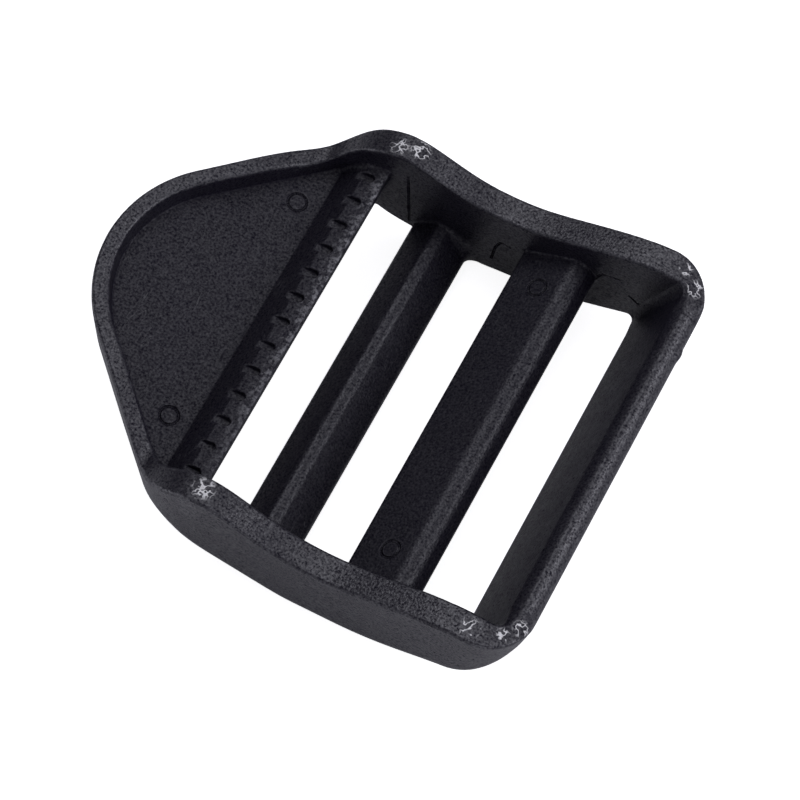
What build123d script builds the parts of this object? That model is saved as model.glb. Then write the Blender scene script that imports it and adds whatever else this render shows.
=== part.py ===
"""Ladder-lock buckle slider for 25 mm webbing: one acetal moulding, shown as its named members.

Frame: X runs from the thumb tab (-X) to the end bar (+X), Y along the crossbars, Z up.
The toothed side faces +Z, and the smooth convex side rests on Z = 0.
"""
import os

from build123d import *

# Plan view, millimetres. Half widths are measured from the centre line
length = 36.6
rear_x = length / 2
nose_radius = 9.5
tab_rim_width = 1.15
grip_x = -4.0
rail_front_half = 14.9      # outer half width at grip_x
slot_front_half = 12.95     # inner half width at grip_x
wide_x = 15.2
rail_rear_half = 15.35      # outer half width at wide_x
slot_rear_half = 13.35      # inner half width at wide_x
shoulder_radius = 5.0
inner_shoulder_radius = 3.4
rear_corner_radius = 3.4
inner_corner_radius = 1.4

# Edge radii
smooth_edge_radius = 1.1
rim_edge_radius = 0.22
bar_edge_radius = 0.3

# Side view of the outside, as (x, z): the rim line over the top, the smooth line underneath
rim_line = [
    (-19.0, 9.6), (-14.0, 8.7), (-10.6, 7.85), (-9.0, 7.3), (-7.0, 8.5), (-5.4, 9.43),
    (-3.7, 9.8), (-1.6, 9.1), (1.0, 7.83), (3.6, 7.22), (5.6, 7.2), (8.2, 7.7),
    (11.2, 8.4), (13.8, 8.77), (16.2, 8.55), (rear_x, 7.97),
]
rest_x = 4.0                # middle of the short flat that the slider rests on
rest_half = 1.5
smooth_rear = [(17.0, 3.05), (15.5, 2.2), (13.6, 1.7), (9.6, 0.55), (rest_x + rest_half, 0.0)]
smooth_front = [
    (rest_x - rest_half, 0.0), (-0.6, 0.55), (-3.1, 1.22), (-5.6, 2.2), (-7.6, 3.7),
    (-10.5, 4.5), (-14.5, 5.4), (-19.0, 6.5),
]

# Side view of the hollow: tab floor, grip bar, slots and the inner face of the end bar
tab_floor_nose = (-19.0, 8.2)
tab_root = (-7.87, 5.85)
grip_back = (-6.06, 7.2)
grip_front = (-4.56, 7.42)
grip_lip = (-4.6, 6.6)
grip_foot = (-6.9, -0.5)
end_foot = (12.0, -0.6)
end_inner_top = (16.35, 7.5)
strip_base_z = 6.6          # the toothed strip is the grip bar above this height

# Crossbar sections, as (x, z, corner radius)
front_bar = [
    (-2.95, 1.2, 0.3), (-2.84, 2.15, 0.35), (-0.67, 3.6, 0.8), (1.26, 1.1, 0.5), (1.0, 0.4, 0.25),
]
centre_bar = [
    (5.5, 0.45, 0.4), (5.2, 4.5, 0.35), (9.45, 6.2, 1.1), (10.4, 4.6, 0.4), (9.6, 1.3, 0.4),
]

# Grip teeth and the small marks that moulding leaves
tooth_pitch = 2.0
notch_count = 13
notch_radius = 0.4
notch_front_x = -5.1
pin_mark_radius = 0.62
pin_mark_width = 0.14
pin_mark_depth = 0.08
tab_mark = (-9.35, 8.8)     # (x, y) of the pair on the tab
bar_mark = (7.4, 10.5)       # (x, y) of the pair on the centre bar
gate_place = (9.2, 7.75)    # (y, z) of the gate stub on the end bar
gate_half = (0.6, 0.4)
gate_depth = 0.6

# Where the moulding is divided into members
nose_split = -14.6
rail_split = 13.6
above = 13.0
below = -2.0
far = 22.0


def plan_outline(radius, front_half, rear_half, corner):
    """The plan outline, open past the end bar: nose arc, 45 degree flanks and flaring rails."""
    slope = (rear_half - front_half) / (wide_x - grip_x)
    nose_x = nose_radius - rear_x
    tangent = radius * 0.5 ** 0.5
    flank_rise = tangent * 2 - nose_x
    rail_zero = front_half - slope * grip_x
    shoulder_x = (rail_zero - flank_rise) / (1 - slope)
    with BuildSketch(Plane.XY.offset(below)) as outline:
        with BuildLine():
            CenterArc((nose_x, 0), radius, 135, 90)
            for side in (1, -1):
                Polyline(
                    (nose_x - tangent, side * tangent),
                    (shoulder_x, side * (shoulder_x + flank_rise)),
                    (far, side * (rail_zero + slope * far)),
                )
            Line((far, rail_zero + slope * far), (far, -rail_zero - slope * far))
        make_face()
        shoulders = outline.vertices().filter_by_position(Axis.X, shoulder_x - 0.1, shoulder_x + 0.1)
        fillet(shoulders, corner)
    return outline.sketch


def steep(edge):
    """True for an edge that climbs more than it runs."""
    return abs(edge.tangent_at(0.5).Z) > 0.5


outer_plan = plan_outline(nose_radius, rail_front_half, rail_rear_half, shoulder_radius)
inner_plan = plan_outline(
    nose_radius - tab_rim_width, slot_front_half, slot_rear_half, inner_shoulder_radius
)
side_plane = Plane.XZ.offset(-far)

# Everything within the inner walls, used to divide bars and tab floor from rails and rim
with BuildPart() as inside:
    add(inner_plan)
    extrude(amount=above - below)

# The solid outline: plan outline cut to the side view, corners and outer edges rounded
with BuildPart() as envelope:
    add(outer_plan)
    extrude(amount=above - below)
    with BuildSketch(side_plane):
        with BuildLine():
            Spline(*rim_line)
            Line(rim_line[-1], smooth_rear[0])
            Spline(*smooth_rear, tangents=[(-1.2, -1), (-1, 0)])
            Line(smooth_rear[-1], smooth_front[0])
            Spline(*smooth_front, tangents=[(-1, 0), (-1, 0.2)])
            Line(smooth_front[-1], rim_line[0])
        make_face()
    extrude(amount=2 * far, mode=Mode.INTERSECT)
    end_face = envelope.faces().sort_by(Axis.X)[-1]
    fillet(end_face.edges().filter_by(steep), rear_corner_radius)
    smooth_faces = envelope.faces().filter_by(lambda f: f.normal_at().Z < -0.5 and f.normal_at().X < 0.8)
    outer_edges = [e for f in smooth_faces for e in f.edges() if abs(e.center().Y) > 1]
    end_edges = [e for f in smooth_faces for e in f.edges() if abs(e.center().X) > 15 and abs(e.center().Y) < 1]
    fillet(outer_edges + end_edges, smooth_edge_radius)
    rim_face = envelope.faces().sort_by(Axis.Z)[-1]
    fillet(rim_face.edges(), rim_edge_radius)

# The hollow: tab recess, the step of the grip bar, and the space that the slots share
with BuildPart() as hollow:
    add(inner_plan)
    extrude(amount=above - below)
    with BuildSketch(side_plane):
        with BuildLine():
            Polyline(
                tab_floor_nose, tab_root, grip_back, grip_front, grip_lip, grip_foot,
                end_foot, end_inner_top, (end_inner_top[0], above), (tab_floor_nose[0], above),
                close=True,
            )
        make_face()
    extrude(amount=2 * far, mode=Mode.INTERSECT)
    end_inner = hollow.faces().filter_by(lambda f: 0.5 < f.normal_at().X < 0.95).sort_by(Axis.X)[-1]
    fillet(end_inner.edges().filter_by(steep), inner_corner_radius)

with BuildPart() as moulding:
    add(envelope.part)
    add(hollow.part, mode=Mode.SUBTRACT)


def write(name, block):
    """Labels a finished member and writes it."""
    block.part.label = name
    export_step(block.part, f"parts/{name}.step")
    print(f"{name:18s} {len(block.solids())} solid {block.part.volume:8.2f} mm3 valid {block.part.is_valid}")


def member(x_low, x_high, within, side=0, z_low=below, z_high=above):
    """The stretch of the moulding between two planes across it.

    within keeps what lies inside the inner walls, or else the rails and rim outside them.
    side keeps one half of the width: 1 for +Y, -1 for -Y, 0 for both.
    """
    y_low = 0 if side > 0 else -far
    y_high = 0 if side < 0 else far
    with BuildPart() as piece:
        add(moulding.part)
        add(inside.part, mode=Mode.INTERSECT if within else Mode.SUBTRACT)
        with Locations(((x_low + x_high) / 2, (y_low + y_high) / 2, (z_low + z_high) / 2)):
            Box(x_high - x_low, y_high - y_low, z_high - z_low, mode=Mode.INTERSECT)
    return piece


def crossbar(section):
    """A bar of constant section that ends against both inner walls."""
    with BuildPart() as bar:
        with BuildSketch(side_plane) as profile:
            with BuildLine():
                Polyline(*[(x, z) for x, z, radius in section], close=True)
            make_face()
            for x, z, radius in section:
                fillet(profile.vertices().sort_by_distance((x, z, 0))[0], radius)
        extrude(amount=2 * far)
        add(inside.part, mode=Mode.INTERSECT)
    return bar


def floor_plane(low, high, x):
    """The plane of a sloping floor that runs through two (x, z) points, centred over x."""
    slope = (high[1] - low[1]) / (high[0] - low[0])
    return Plane((x, 0, low[1] + slope * (x - low[0])), x_dir=(1, 0, slope), z_dir=(-slope, 0, 1))


def sink_pin_rings(block, floor, y):
    """Cuts the pair of shallow rings that ejector pins leave in a floor, at +y and -y."""
    with BuildSketch(floor) as rings:
        with Locations((0, y), (0, -y)):
            Circle(pin_mark_radius + pin_mark_width / 2)
            Circle(pin_mark_radius - pin_mark_width / 2, mode=Mode.SUBTRACT)
    with block:
        extrude(rings.sketch, amount=-pin_mark_depth, mode=Mode.SUBTRACT)


os.makedirs("parts", exist_ok=True)

write("tab_nose_rim", member(-far, nose_split, within=False))
write("tab_rim_left", member(nose_split, tab_root[0], within=False, side=1))
write("tab_rim_right", member(nose_split, tab_root[0], within=False, side=-1))
write("side_rail_left", member(tab_root[0], rail_split, within=False, side=1))
write("side_rail_right", member(tab_root[0], rail_split, within=False, side=-1))
write("rear_corner_left", member(rail_split, far, within=False, side=1))
write("rear_corner_right", member(rail_split, far, within=False, side=-1))

tab_plate = member(-far, tab_root[0], within=True)
sink_pin_rings(tab_plate, floor_plane(tab_root, tab_floor_nose, tab_mark[0]), tab_mark[1])
write("tab_plate", tab_plate)
grip_bar = member(tab_root[0], 0, within=True, z_high=strip_base_z)
write("grip_bar", grip_bar)

grip_teeth = member(tab_root[0], 0, within=True, z_low=strip_base_z)
with grip_teeth:
    notch_z = grip_back[1] + notch_radius / 2
    with GridLocations(0, tooth_pitch, 1, notch_count):
        with Locations(Location((notch_front_x, 0, notch_z), (0, -90, 0))):
            Cylinder(notch_radius, 4, align=(Align.CENTER, Align.CENTER, Align.MIN), mode=Mode.SUBTRACT)
        with Locations((notch_front_x, 0, notch_z)):
            Sphere(notch_radius, mode=Mode.SUBTRACT)
write("grip_teeth", grip_teeth)

write("front_crossbar", crossbar(front_bar))
centre_crossbar = crossbar(centre_bar)
flat = floor_plane(centre_bar[1][:2], centre_bar[2][:2], bar_mark[0])
sink_pin_rings(centre_crossbar, flat, bar_mark[1])
write("centre_crossbar", centre_crossbar)

# The end bar, with the broken-off gate stub on its outer face
end_bar = member(0, far, within=True)
with BuildSketch(Plane.YZ.offset(rear_x)) as gate_stub:
    with Locations(gate_place):
        Ellipse(*gate_half)
with end_bar:
    extrude(gate_stub.sketch, amount=-gate_depth)
write("end_bar", end_bar)
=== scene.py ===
"""Black moulded ladder-lock slider on a pale floor, for Blender 4.5."""
import math

import bmesh
import bpy
import numpy as np
from mathutils import Matrix, Vector


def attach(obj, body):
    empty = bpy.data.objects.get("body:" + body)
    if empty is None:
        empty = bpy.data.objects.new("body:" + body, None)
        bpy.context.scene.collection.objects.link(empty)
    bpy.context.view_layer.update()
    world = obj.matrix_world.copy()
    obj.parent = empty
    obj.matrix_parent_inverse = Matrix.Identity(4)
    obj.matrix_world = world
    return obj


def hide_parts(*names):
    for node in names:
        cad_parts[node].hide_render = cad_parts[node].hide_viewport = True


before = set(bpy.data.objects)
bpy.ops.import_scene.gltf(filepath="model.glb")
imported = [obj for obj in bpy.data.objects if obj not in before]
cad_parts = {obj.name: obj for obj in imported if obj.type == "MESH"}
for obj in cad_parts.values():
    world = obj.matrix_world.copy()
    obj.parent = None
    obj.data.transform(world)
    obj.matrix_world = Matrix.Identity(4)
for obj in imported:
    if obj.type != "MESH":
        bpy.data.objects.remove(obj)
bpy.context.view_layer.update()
MM = 0.001

# ---------------------------------------------------------------- shape, millimetres in the row frame
REAR_X = 18.3
NOSE_RADIUS = 9.5
TAB_RIM = 1.15
GRIP_X, WIDE_X = -4.0, 15.2
OUTER_HALF = (14.9, 15.35)      # outer half width at GRIP_X and WIDE_X
INNER_HALF = (12.95, 13.35)     # inner half width there
RIM_LINE = [
    (-19.0, 9.6), (-14.0, 8.7), (-10.6, 7.85), (-9.0, 7.3), (-7.0, 8.5), (-5.4, 9.43), (-3.7, 9.8),
    (-1.6, 9.1), (1.0, 7.83), (3.6, 7.22), (5.6, 7.2), (8.2, 7.7), (11.2, 8.4), (13.8, 8.77),
    (16.2, 8.55), (18.3, 7.97), (19.5, 7.75),
]
SMOOTH_FRONT = [
    (-19.0, 6.5), (-14.5, 5.4), (-10.5, 4.5), (-7.6, 3.7), (-5.6, 2.2), (-3.1, 1.22), (-0.6, 0.55),
    (2.5, 0.0),
]
SMOOTH_REAR = [(5.5, 0.0), (9.6, 0.55), (13.6, 1.7), (15.5, 2.2), (19.0, 4.55)]
REAR_FACE = ((17.0, 3.15), (18.32, 8.1))
REAR_CORNER, BEAD_OUT, SMOOTH_EDGE = 3.4, 0.13, (0.5, 1.8)
BEAD_TILT = math.radians(55)    # how far the narrow outer slope of the end bar's bead leans from level
HOLLOW = [
    (-30.0, 10.52, 0), (-7.87, 5.85, 0.12), (-6.06, 7.2, 0.16), (-4.56, 7.42, 0.16), (-4.6, 6.6, 0.5),
    (-8.36, -5.0, 0), (9.6, -5.0, 0), (16.35, 7.5, 0), (16.9, 8.6, 0), (16.9, 40.0, 0), (-30.0, 40.0, 0),
]
FRONT_BAR = [
    (-2.95, 1.2, 0.3), (-2.84, 2.15, 0.35), (-0.67, 3.6, 0.8), (1.26, 1.1, 0.5), (1.0, 0.4, 0.25),
]
CENTRE_BAR = [
    (5.5, 0.45, 0.4), (5.2, 4.5, 0.35), (9.45, 6.2, 1.1), (10.4, 4.6, 0.4), (9.6, 1.3, 0.4),
]
TOOTH_PITCH, TOOTH_LAST = 2.0, 12.0
NOTCH_X, NOTCH_REACH, NOTCH_HALF, NOTCH_FLOOR = -6.35, 0.8, 0.31, 6.86
STUB_AT, STUB_RADII = (17.93, 9.2, 7.3), (0.34, 0.5, 0.36)      # the broken-off gate on the end bar
PIN_RADIUS = 0.62
MARK_RADIUS = 0.11              # half the width of the fine lines that the mould leaves
TAB_PIN, BAR_PIN = (-9.35, 8.8), (7.4, 10.5)
WITNESS = [                     # edges of mould inserts on the inner walls, in the side view
    [(-3.25, 7.7), (-3.25, 1.9)],
    [(2.8, 1.5), (3.1, 3.25), (3.5, 4.1), (4.15, 3.9)],
    [(10.2, 4.2), (10.5, 5.0), (10.85, 5.5), (12.0, 5.65)],
    [(12.8, 4.0), (13.55, 3.4)],
]
CELL = 0.13      # size of the sampling grid that the skin is drawn from


def cubic(points, ends=(None, None)):
    """A cubic spline z(x) as a fine table. Each end is natural, or has a set slope."""
    x, z = np.array(points, float).T
    n, h = len(x), np.diff(x)
    m, rhs = np.zeros((n, n)), np.zeros(n)
    for i in range(1, n - 1):
        m[i, i - 1:i + 2] = h[i - 1], 2 * (h[i - 1] + h[i]), h[i]
        rhs[i] = 6 * ((z[i + 1] - z[i]) / h[i] - (z[i] - z[i - 1]) / h[i - 1])
    for row, k, slope in ((0, 0, ends[0]), (n - 1, n - 2, ends[1])):
        m[row, row] = 1
        if slope is not None:
            m[row, k:k + 2] = (2 * h[k], h[k]) if row == 0 else (h[k], 2 * h[k])
            step = (z[k + 1] - z[k]) / h[k]
            rhs[row] = 6 * (step - slope) if row == 0 else 6 * (slope - step)
    c = np.linalg.solve(m, rhs)
    t = np.arange(x[0], x[-1], 0.01)
    i = np.clip(np.searchsorted(x, t, side="right") - 1, 0, n - 2)
    a, b = x[i + 1] - t, t - x[i]
    table = (c[i] * a ** 3 + c[i + 1] * b ** 3) / (6 * h[i]) \
        + (z[i] / h[i] - c[i] * h[i] / 6) * a + (z[i + 1] / h[i] - c[i + 1] * h[i] / 6) * b
    return t, table


def height(table):
    """Distance above a spline, as a function of x and z."""
    t, level = table
    tilt = np.sqrt(1 + np.gradient(level, t) ** 2)
    return lambda x, z: (z - np.interp(x, t, level)) / np.interp(x, t, tilt)


above_rim = height(cubic(RIM_LINE))
front_t, front_z = cubic(SMOOTH_FRONT, (None, 0.0))
rear_t, rear_z = cubic(SMOOTH_REAR, (0.0, None))
above_smooth = height((np.append(front_t, rear_t), np.append(front_z, rear_z)))


def round_max(a, b, r):
    """Where two solids both are, their shared edge rounded to radius r."""
    return np.hypot(np.maximum(a + r, 0), np.maximum(b + r, 0)) + np.minimum(np.maximum(a, b), -r)


def round_min(a, b, r):
    """Two solids together, with a fillet of radius r where they meet."""
    return -round_max(-a, -b, r)


def plan(x, y, radius, halves, corner):
    """Distance outside the plan outline: nose arc, 45 degree flanks, rounded shoulders, flaring rails."""
    side = np.abs(y)
    slope = (halves[1] - halves[0]) / (WIDE_X - GRIP_X)
    nose_x = NOSE_RADIUS - REAR_X
    rise = radius * math.sqrt(2) - nose_x
    zero = halves[0] - slope * GRIP_X
    s = math.hypot(1, slope)
    cx = (zero - rise + corner * (math.sqrt(2) - s)) / (1 - slope)
    cy = cx + rise - corner * math.sqrt(2)
    u, v = x - cx, side - cy
    lines = np.maximum((side - x - rise) / math.sqrt(2), (side - zero - slope * x) / s)
    d = np.where((u <= -slope * v) & (u + v >= 0), np.hypot(u, v) - corner, lines)
    return np.where(x - nose_x <= -side, np.hypot(x - nose_x, side) - radius, d)


def rounded(points):
    """The closed outline through (x, z, radius) corners, with each corner as a fine arc."""
    out, n = [], len(points)
    for i in range(n):
        p, q, r = (np.array(points[k % n][:2]) for k in (i - 1, i, i + 1))
        radius = points[i][2]
        if not radius:
            out.append(q)
            continue
        a, b = (p - q) / np.linalg.norm(p - q), (r - q) / np.linalg.norm(r - q)
        half = math.acos(float(a @ b)) / 2
        centre = q + (a + b) / np.linalg.norm(a + b) * radius / math.sin(half)
        start, end = q + a * radius / math.tan(half) - centre, q + b * radius / math.tan(half) - centre
        turn = math.atan2(start[0] * end[1] - start[1] * end[0], start @ end)
        steps = max(2, int(abs(turn) / 0.12))
        for k in range(steps + 1):
            c, s = math.cos(turn * k / steps), math.sin(turn * k / steps)
            out.append(centre + (start[0] * c - start[1] * s, start[0] * s + start[1] * c))
    return np.array(out)


def outline(x, z, corners):
    """Distance outside a closed outline in the side view. Far from it, the distance to its box."""
    low, high = corners.min(0), corners.max(0)
    away_x = np.maximum(np.maximum(low[0] - x, x - high[0]), 0)
    away_z = np.maximum(np.maximum(low[1] - z, z - high[1]), 0)
    away = np.hypot(away_x, away_z)
    close = away < 1.5
    if x.ndim == 1 and not close.all():
        away[close] = outline(x[close], z[close], corners)
        return away
    near, inside = np.inf, False
    for (ax, az), (bx, bz) in zip(corners, np.roll(corners, -1, axis=0)):
        ex, ez = bx - ax, bz - az
        t = np.clip(((x - ax) * ex + (z - az) * ez) / (ex * ex + ez * ez + 1e-12), 0, 1)
        near = np.minimum(near, np.hypot(x - ax - t * ex, z - az - t * ez))
        if bz != az:
            inside = inside ^ (((az > z) != (bz > z)) & (x < ex * (z - az) / ez + ax))
    return np.where(inside, -near, near)


hollow_outline, front_outline, centre_outline = (rounded(p) for p in (HOLLOW, FRONT_BAR, CENTRE_BAR))


def ring(x, y, z, centre, level, slope):
    """Distance to the middle line of a pin ring, in a floor that climbs with slope through level."""
    c = math.sqrt(1 + slope * slope)
    along = (x - centre[0]) * c
    over = (z - level - slope * (x - centre[0])) / c
    around = np.hypot(along + over * slope, np.abs(y) - centre[1]) - PIN_RADIUS
    return np.hypot(around, over)


def near_path(x, z, path):
    """Distance in the side view to an open line."""
    near = np.inf
    for (ax, az), (bx, bz) in zip(path, path[1:]):
        ex, ez = bx - ax, bz - az
        t = np.clip(((x - ax) * ex + (z - az) * ez) / (ex * ex + ez * ez), 0, 1)
        near = np.minimum(near, np.hypot(x - ax - t * ex, z - az - t * ez))
    return near


def marks(x, y, z, wall_in):
    """Distance to the middle lines of the fine mould marks: pin rings and insert edges."""
    d = np.minimum(ring(x, y, z, TAB_PIN, 6.163, -0.2111), ring(x, y, z, BAR_PIN, 5.38, 0.4))
    for path in WITNESS:
        d = np.minimum(d, np.hypot(near_path(x, z, path), wall_in))
    return d


def field(x, y, z, fine=True):
    """Distance outside the moulding, in millimetres."""
    wall_out = plan(x, y, NOSE_RADIUS, OUTER_HALF, 5.0)
    wall_in = plan(x, y, NOSE_RADIUS - TAB_RIM, INNER_HALF, 3.4)
    (ax, az), (bx, bz) = REAR_FACE
    length = math.hypot(bx - ax, bz - az)
    rear = ((x - ax) * (bz - az) - (z - az) * (bx - ax)) / length
    top, bottom = above_rim(x, z), -above_smooth(x, z)

    across = np.interp(np.abs(y), [11.6, 13.3], [1, 0])         # 1 along the end bar, 0 in the rear corners
    slant = (x - 18.25) * math.sin(BEAD_TILT) + (z - 7.2) * math.cos(BEAD_TILT) + 0.8 * (across - 1)
    body = round_max(wall_out, rear - BEAD_OUT * across, REAR_CORNER)
    body = round_max(body, slant, 0.3)
    body = round_max(body, bottom, np.interp(x, [-12, -6], SMOOTH_EDGE))
    rim_radius = np.interp(x, [-12, -8], [0.3, 0.22]) + across * np.interp(x, [12, 16], [0, 0.12])
    body = round_max(body, top, rim_radius)
    shell = body

    floor = outline(x, z, hollow_outline)
    soft = np.interp(x, [-9, -7, -4, 12, 14], [0.14, 0.5, 0.3, 0.3, 0.75])
    hollow = round_max(wall_in, floor, soft)
    body = round_max(body, -hollow, 0.2 + across * np.interp(x, [12, 15.5], [0, 0.8]))

    for bar, blend in ((front_outline, np.interp(x, [-0.5, 1.0], [0.2, 0.9])), (centre_outline, 0.2)):
        body = round_min(body, np.maximum(outline(x, z, bar), wall_in - 0.9), blend)
    body = np.maximum(body, shell)      # the bars' fillets stay inside the outer surface

    tooth = y - np.clip(np.round(y / TOOTH_PITCH) * TOOTH_PITCH, -TOOTH_LAST, TOOTH_LAST)
    past_end = np.maximum(np.abs(x - NOTCH_X) - NOTCH_REACH, 0)
    notch = round_max(np.hypot(tooth, past_end) - NOTCH_HALF, NOTCH_FLOOR - z, 0.08)
    body = round_max(body, -notch, 0.07)
    stub = np.sqrt(sum(((a - at) / r) ** 2 for a, at, r in zip((x, y, z), STUB_AT, STUB_RADII))) - 1
    body = round_min(body, stub * 0.33, 0.25)
    return round_max(body, MARK_RADIUS - marks(x, y, z, wall_in), 0.02) if fine else body


def skin(cell):
    """Points and quads of the surface where the field is zero, by surface nets on an even grid."""
    limits = ((-18.4, 18.6), (-15.5, 15.5), (0, 9.95))
    axes = [np.arange(low - 2 * cell, high + 2 * cell, cell) for low, high in limits]
    x, y, z = np.ix_(*axes)
    f = np.broadcast_to(field(x, y, z, fine=False), tuple(len(a) for a in axes)).astype(np.float32)
    shape = np.array(f.shape) - 1
    cells, at, edges = [], [], []
    for axis in range(3):
        a = f.take(range(f.shape[axis] - 1), axis)
        b = f.take(range(1, f.shape[axis]), axis)
        cut = (a < 0) != (b < 0)
        where = np.argwhere(cut)
        point = where.astype(float)
        point[:, axis] += a[cut] / (a[cut] - b[cut])
        u, v = (axis + 1) % 3, (axis + 2) % 3
        around = []
        for i, j in ((1, 1), (0, 1), (0, 0), (1, 0)):
            c = where.copy()
            c[:, u] -= i
            c[:, v] -= j
            around.append(np.ravel_multi_index(tuple(c.T), tuple(shape)))
            at.append(point)
        quad = np.stack(around, 1)
        flip = ~(a < 0)[cut]
        quad[flip] = quad[flip][:, ::-1]
        cells += around
        edges.append(quad)
    used, index = np.unique(np.concatenate(cells), return_inverse=True)
    at = np.concatenate(at)
    count = np.bincount(index)
    points = np.stack([np.bincount(index, at[:, k]) / count * cell + axes[k][0] for k in range(3)], 1)
    return points, np.searchsorted(used, np.concatenate(edges))


def slope_of(p, fine=True):
    """The field's value and gradient at points."""
    e = 0.004
    parts = [field(*(p + e * d * np.eye(3)[k]).T, fine) for k in range(3) for d in (1, -1)]
    grad = np.stack([(parts[2 * k] - parts[2 * k + 1]) / (2 * e) for k in range(3)], 1)
    return field(*p.T, fine), grad


def settle(p, steps, most, fine=True):
    """Points moved onto the surface, each step at most a set distance."""
    for _ in range(steps):
        value, grad = slope_of(p, fine)
        p = p - np.clip(value / np.maximum((grad ** 2).sum(1), 0.3), -most, most)[:, None] * grad
    return p


def fineness(p):
    """How many times the skin is halved at points: the grip teeth once, the fine marks twice."""
    x, y, z = p.T
    level = np.where((np.abs(x + 5.7) < 1.35) & (z > 6.3) & (z < 7.7) & (np.abs(y) < 13), 1, 0)
    level[np.hypot(x - 18.1, y - 9.2) < 0.9] = 1
    wall_in = plan(x, y, NOSE_RADIUS - TAB_RIM, INNER_HALF, 3.4)
    level[marks(x, y, z, wall_in) < 0.2] = 2
    return level


points, quads = skin(CELL)
points = settle(points, 2, CELL, fine=False)

mesh = bpy.data.meshes.new("moulding")
mesh.from_pydata(points, [], quads)
shape = bmesh.new()
shape.from_mesh(mesh)
for halving in range(2):
    shape.faces.ensure_lookup_table()
    centres = np.array([f.calc_center_median() for f in shape.faces])
    picked = np.nonzero(fineness(centres) > halving)[0]
    edges = list({e for i in picked for e in shape.faces[i].edges})
    old = len(shape.verts)
    bmesh.ops.subdivide_edges(shape, edges=edges, cuts=1, use_grid_fill=True)
    shape.verts.ensure_lookup_table()
    added = np.array([v.co for v in shape.verts[old:]])
    for v, co in zip(shape.verts[old:], settle(added, 3, CELL / 2)):
        v.co = co
shape.to_mesh(mesh)
shape.free()
points = np.empty(len(mesh.vertices) * 3, np.float32)
mesh.vertices.foreach_get("co", points)
points = settle(points.reshape(-1, 3).astype(float), 1, CELL / 4)
normals = slope_of(points)[1]
normals /= np.linalg.norm(normals, axis=1)[:, None]

# Masks for the material: inner corners (for painted shade), convex edges, the flat top of the rims
# and the end bar's bead (also for a painted sheen and highlight), the grip's front edge (wear and a
# painted highlight) and the tab plate. The field bends up round a convex edge, and down in an inner corner
reach = 0.06
steps = [reach * d * np.eye(3)[k] for k in range(3) for d in (1, -1)]
bend = sum(field(*(points + step).T) for step in steps) - 6 * field(*points.T)
x, y, z = points.T
within = plan(x, y, NOSE_RADIUS - TAB_RIM, INNER_HALF, 3.4)
# Painted sheen: the rims shine more toward the end bar, a ramp that stands in for light falling brighter
# there
sheen_toward_end = np.interp(x, [-8, 8, 16], [0.75, 0.95, 1.25])
# Painted highlight: the grip's front edge is made lighter toward the far end, partly worn rubbing and
# partly painted highlight
rub_and_highlight_ramp = np.interp(y, [-12, -5, 12, 13], [0.3, 0.9, 1, 0])
masks = {
    "crease_shade": np.clip(-bend / reach ** 2 / 6 - 0.25, 0, 1),
    "edge": np.clip(bend / reach ** 2 / 3 - 0.15, 0, 1),
    "rim": np.maximum(
        np.clip(1 - np.abs(above_rim(x, z)) / 0.15, 0, 1) * np.clip(within / 0.1, 0, 1) * sheen_toward_end,
        # painted highlight: extra shine along the crest of the end bar's bead
        np.clip(1 - np.abs(x - 17.5) / 0.4, 0, 1) * (z > 7) * (within < 0.1) * 1.1,
    ),
    "lip": np.clip(1.2 - np.abs(x + 4.6) / 0.8, 0, 1) * (z > 7.2) * rub_and_highlight_ramp,
    "plate": np.clip(-within / 0.1 - 0.5, 0, 1) * np.clip((-4.2 - x) / 0.2, 0, 1) * (normals[:, 2] > 0.5),
}

# ---------------------------------------------------------------- one piece for each CAD node
sizes = np.empty(len(mesh.polygons), np.int32)
mesh.polygons.foreach_get("loop_total", sizes)
loops = np.empty(sizes.sum(), np.int32)
mesh.loops.foreach_get("vertex_index", loops)
starts = np.cumsum(sizes) - sizes
middle = np.add.reduceat(points[loops], starts) / sizes[:, None]
x, y, z = middle.T
inside = plan(x, y, NOSE_RADIUS - TAB_RIM, INNER_HALF, 3.4) < -0.03
names = np.select(
    [inside & (x < -7.87), inside & (x < -3.8) & (z > 6.6), inside & (x < -3.8), inside & (x < 3.2),
     inside & (x < 11.6), inside, x < -14.6],
    ["tab_plate", "grip_teeth", "grip_bar", "front_crossbar", "centre_crossbar", "end_bar", "tab_nose_rim"],
    np.select([x < -7.87, x < 13.6], ["tab_rim", "side_rail"], "rear_corner"),
)
sided = np.isin(names, ["tab_rim", "side_rail", "rear_corner"])
names = np.where(sided, np.char.add(names, np.where(y > 0, "_left", "_right")), names)
pieces = []
for name in sorted(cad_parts):
    picked = names == name
    corners = loops[np.repeat(picked, sizes)]
    used, local = np.unique(corners, return_inverse=True)
    ends = np.cumsum(sizes[picked])[:-1]
    part = bpy.data.meshes.new(name + "_moulded")
    part.from_pydata(points[used] * MM, [], [list(c) for c in np.split(local, ends)])
    part.polygons.foreach_set("use_smooth", [True] * len(part.polygons))
    part.normals_split_custom_set_from_vertices(normals[used])
    for mask, values in masks.items():
        amounts = part.attributes.new(mask, "FLOAT", "POINT").data
        amounts.foreach_set("value", values[used].astype(np.float32))
    piece = bpy.data.objects.new(name + "_moulded", part)
    bpy.context.scene.collection.objects.link(piece)
    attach(piece, "root")
    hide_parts(name)
    pieces.append(piece)
bpy.data.meshes.remove(mesh)

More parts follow.
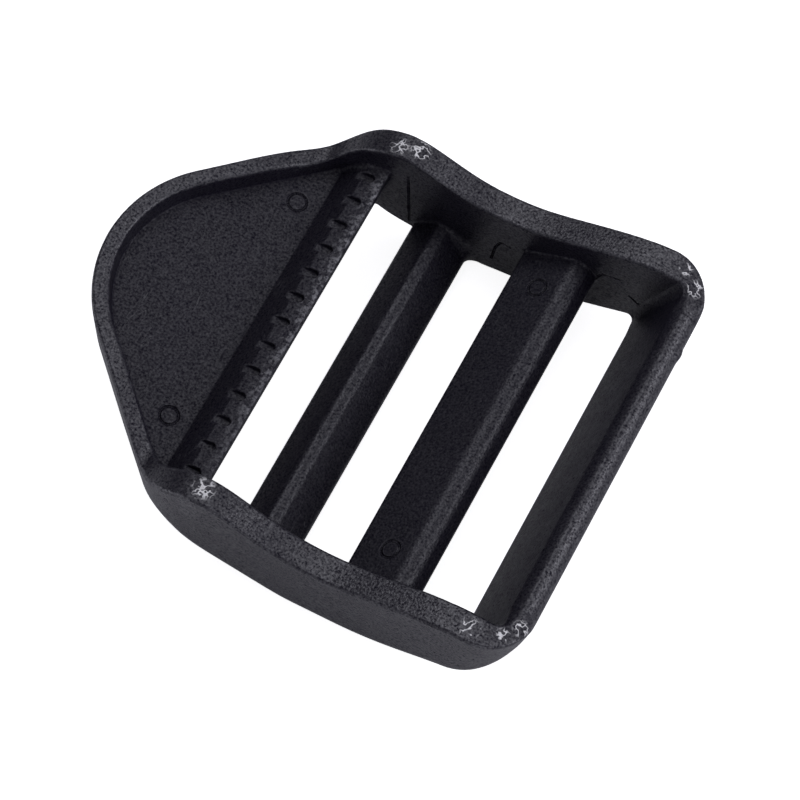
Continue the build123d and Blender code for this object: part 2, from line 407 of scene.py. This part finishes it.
# ---------------------------------------------------------------- material
SCUFFS = [                      # where the rims are scuffed white: middle (x, y, z) and radius
    ((-4.2, 13.75, 9.5), 0.7), ((-2.9, 14.1, 9.5), 0.75), ((-3.9, -13.8, 9.5), 0.85),
    ((16.1, 14.4, 8.5), 0.5), ((17.2, 13.5, 8.3), 0.65),
    ((14.9, -14.4, 8.6), 0.75), ((16.95, -13.75, 8.5), 0.5), ((17.7, -12.8, 8.3), 0.6),
]
mat = bpy.data.materials.new("black_acetal")
mat.use_nodes = True
nodes, links = mat.node_tree.nodes, mat.node_tree.links
shader = nodes["Principled BSDF"]
shader.inputs["IOR"].default_value = 1.48
coords = nodes.new("ShaderNodeTexCoord").outputs["Object"]


def noise(size, detail=2.0, roughness=0.5, vector=coords):
    """Noise with features of a given size in millimetres."""
    n = nodes.new("ShaderNodeTexNoise")
    n.inputs["Scale"].default_value = 1 / (size * MM)
    n.inputs["Detail"].default_value = detail
    n.inputs["Roughness"].default_value = roughness
    links.new(vector, n.inputs["Vector"])
    return n.outputs["Fac"]


def math_node(operation, a, b):
    """A math node on two values, each a socket or a number."""
    n = nodes.new("ShaderNodeMath")
    n.operation = operation
    for socket, value in zip(n.inputs, (a, b)):
        if isinstance(value, (int, float)):
            socket.default_value = value
        else:
            links.new(value, socket)
    return n.outputs[0]


def remap(value, low, high, to_low, to_high, smooth=False):
    """A value taken from one range to another, clamped."""
    n = nodes.new("ShaderNodeMapRange")
    n.interpolation_type = "SMOOTHSTEP" if smooth else "LINEAR"
    for socket, number in zip((1, 2, 3, 4), (low, high, to_low, to_high)):
        n.inputs[socket].default_value = number
    links.new(value, n.inputs[0])
    return n.outputs[0]


def layer(name):
    n = nodes.new("ShaderNodeAttribute")
    n.attribute_name = name
    return n.outputs["Fac"]


def blend(factor, a, b):
    """A colour mixed from a to b, each a socket or a colour."""
    n = nodes.new("ShaderNodeMix")
    n.data_type = "RGBA"
    links.new(factor, n.inputs["Factor"])
    for socket, value in ((n.inputs[6], a), (n.inputs[7], b)):
        if isinstance(value, tuple):
            socket.default_value = value + (1,)
        else:
            links.new(value, socket)
    return n.outputs[2]


edge, crease_shade, rim, plate, lip = (layer(mask) for mask in ("edge", "crease_shade", "rim", "plate", "lip"))
blotch = noise(2.6, 3)
wear = math_node("MULTIPLY", edge, remap(noise(0.55, 4, 0.6), 0.42, 0.62, 0, 1, smooth=True))

# Fine scratches: thin bands of noise that is stretched one way
along = nodes.new("ShaderNodeMapping")
along.inputs["Scale"].default_value = (1, 0.09, 1)
along.inputs["Rotation"].default_value = (0, 0, math.radians(28))
links.new(coords, along.inputs["Vector"])
hair = math_node("ABSOLUTE", math_node("SUBTRACT", noise(0.5, 1, 0.4, along.outputs[0]), 0.5), 0)
in_patches = remap(noise(3.2, 1), 0.52, 0.64, 0, 0.6, smooth=True)
scratch = math_node("MULTIPLY", remap(hair, 0.0, 0.006, 1, 0), in_patches)

# Crazed white scuffs in a few places on the rims
near_scuff = None
for centre, radius in SCUFFS:
    far = nodes.new("ShaderNodeVectorMath")
    far.operation = "DISTANCE"
    far.inputs[1].default_value = [c * MM for c in centre]
    links.new(coords, far.inputs[0])
    spot = remap(far.outputs["Value"], 0.55 * radius * MM, 1.15 * radius * MM, 1, 0, smooth=True)
    near_scuff = spot if near_scuff is None else math_node("MAXIMUM", near_scuff, spot)
crack = math_node("ABSOLUTE", math_node("SUBTRACT", noise(0.7, 2, 0.5), 0.5), 0)
scuff = math_node("MULTIPLY", remap(crack, 0.014, 0.036, 1, 0), near_scuff)

colour = blend(remap(blotch, 0.3, 0.7, 0, 1), (0.0064, 0.0055, 0.0110), (0.0086, 0.0076, 0.0142))
colour = blend(wear, colour, (0.034, 0.033, 0.040))
colour = blend(scratch, colour, (0.10, 0.10, 0.106))
# Pale marks on the grip's front edge: partly worn rubbing, partly a painted highlight that lightens the
# strip
rub_and_highlight = math_node("MULTIPLY", lip, remap(noise(0.3, 3, 0.6), 0.44, 0.66, 0, 1, smooth=True))
colour = blend(rub_and_highlight, colour, (0.20, 0.20, 0.21))
colour = blend(scuff, colour, (0.80, 0.80, 0.79))
links.new(colour, shader.inputs["Base Color"])

gloss = remap(noise(0.9, 3), 0.3, 0.7, 0.35, 0.43)
gloss = math_node("SUBTRACT", gloss, math_node("MULTIPLY", rim, 0.06))
gloss = math_node("SUBTRACT", gloss, math_node("MULTIPLY", wear, 0.05))
gloss = math_node("ADD", gloss, math_node("MULTIPLY", math_node("MAXIMUM", scuff, plate), 0.10))
links.new(gloss, shader.inputs["Roughness"])

# The spark-eroded grain: pits shade themselves, so they shine less
grain = noise(0.155, 2, 0.6)
grained = math_node("MAXIMUM", rim, plate)
# The rims shine more than the grained plate: a smoother finish, plus the painted sheen ramp and the painted
# highlight on the bead's crest
shine = math_node("ADD", remap(plate, 0, 1, 0.5, 0.42), math_node("MULTIPLY", rim, 0.28))
depth = math_node("MULTIPLY", remap(grained, 0, 1, 0.9, 1), math_node("SUBTRACT", grain, 0.5))
shine = math_node("MULTIPLY", shine, math_node("ADD", math_node("MULTIPLY", depth, 4.8), 1.0))
# Painted shade: inner corners and creases shine less, standing in for the shade that falls in them
shine = math_node("MULTIPLY", shine, remap(crease_shade, 0, 1, 1, 0.25))
links.new(shine, shader.inputs["Specular IOR Level"])
bump = nodes.new("ShaderNodeBump")
bump.inputs["Distance"].default_value = 0.045 * MM
links.new(remap(grained, 0, 1, 0.7, 1), bump.inputs["Strength"])
links.new(grain, bump.inputs["Height"])
links.new(bump.outputs["Normal"], shader.inputs["Normal"])
for piece in pieces:
    piece.data.materials.append(mat)

# ---------------------------------------------------------------- floor, light and camera
bpy.ops.mesh.primitive_plane_add(size=4, location=(0, 0, 0))
floor = bpy.context.object
floor.name = "floor"
floor_mat = bpy.data.materials.new("pale_floor")
floor_mat.use_nodes = True
floor_mat.node_tree.nodes["Principled BSDF"].inputs["Base Color"].default_value = (0.93, 0.93, 0.93, 1)
floor_mat.node_tree.nodes["Principled BSDF"].inputs["Roughness"].default_value = 0.8
floor.data.materials.append(floor_mat)
# The floor glows for the camera, to stay as white as a light tent's
floor_nodes, floor_links = floor_mat.node_tree.nodes, floor_mat.node_tree.links
path = floor_nodes.new("ShaderNodeLightPath")
lift = floor_nodes.new("ShaderNodeMath")
lift.operation = "MULTIPLY_ADD"
lift.inputs[1].default_value = 0.82
lift.inputs[2].default_value = 0.03
floor_links.new(path.outputs["Is Camera Ray"], lift.inputs[0])
floor_nodes["Principled BSDF"].inputs["Emission Color"].default_value = (1, 1, 1, 1)
floor_links.new(lift.outputs[0], floor_nodes["Principled BSDF"].inputs["Emission Strength"])

AMBIENT = 0.08
# Soft white panels of a light tent. Each has the azimuth from +X, the elevation, the half angle of
# its even middle, the half angle where it ends, and its strength
PANELS = [
    (20, 38, 7, 48, 0.62), (240, 20, 4, 28, 0.5), (120, 60, 4, 28, 1.5), (0, 20, 4, 28, 0.95),
    (200, 5, 4, 28, 2.0), (0, 90, 5, 30, 0.66), (20, 20, 4, 23, 1.9), (300, 5, 4, 28, 1.9),
]
world = bpy.data.worlds.new("light_tent")
bpy.context.scene.world = world
world.use_nodes = True
sky, sky_links = world.node_tree.nodes, world.node_tree.links
look = sky.new("ShaderNodeTexCoord")
glow = None
for azimuth, elevation, even, reach, strength in PANELS:
    a, e = math.radians(azimuth), math.radians(elevation)
    dot = sky.new("ShaderNodeVectorMath")
    dot.operation = "DOT_PRODUCT"
    dot.inputs[1].default_value = (math.cos(a) * math.cos(e), math.sin(a) * math.cos(e), math.sin(e))
    sky_links.new(look.outputs["Generated"], dot.inputs[0])
    panel = sky.new("ShaderNodeMapRange")
    panel.interpolation_type = "SMOOTHSTEP"
    outer, inner = math.cos(math.radians(reach)), math.cos(math.radians(even))
    for socket, value in zip((1, 2, 3, 4), (outer, inner, 0, strength)):
        panel.inputs[socket].default_value = value
    sky_links.new(dot.outputs["Value"], panel.inputs[0])
    add = sky.new("ShaderNodeMath")
    add.inputs[1].default_value = AMBIENT
    if glow is not None:
        sky_links.new(glow, add.inputs[1])
    sky_links.new(panel.outputs[0], add.inputs[0])
    glow = add.outputs[0]
sky_links.new(glow, sky["Background"].inputs["Strength"])
sky["Background"].inputs["Color"].default_value = (0.97, 0.965, 1.07, 1)

AZ, EL, ROLL = (math.radians(a) for a in (28.6586, 63.0, 1.8))
back = Vector((math.sin(AZ) * math.cos(EL), -math.cos(AZ) * math.cos(EL), math.sin(EL)))
right = Vector((math.cos(AZ), math.sin(AZ), 0))
up = back.cross(right)
cam_x = right * math.cos(ROLL) - up * math.sin(ROLL)
cam_y = right * math.sin(ROLL) + up * math.cos(ROLL)
target = Vector((5.3, 0, 5.55))
place = target + back * 238.559 - cam_x * 2.2859 + cam_y * 0.1095
camera = bpy.data.objects.new("camera", bpy.data.cameras.new("camera"))
bpy.context.scene.collection.objects.link(camera)
camera.data.sensor_width = 36
camera.data.lens = 15.5787 * 238.559 / 800 * 36
rotation = Matrix((cam_x, cam_y, back)).transposed().to_4x4()
camera.matrix_world = Matrix.Translation(place * MM) @ rotation
camera.data.clip_start, camera.data.clip_end = 0.01, 10
bpy.context.scene.camera = camera
bpy.context.scene.view_settings.view_transform = "Standard"
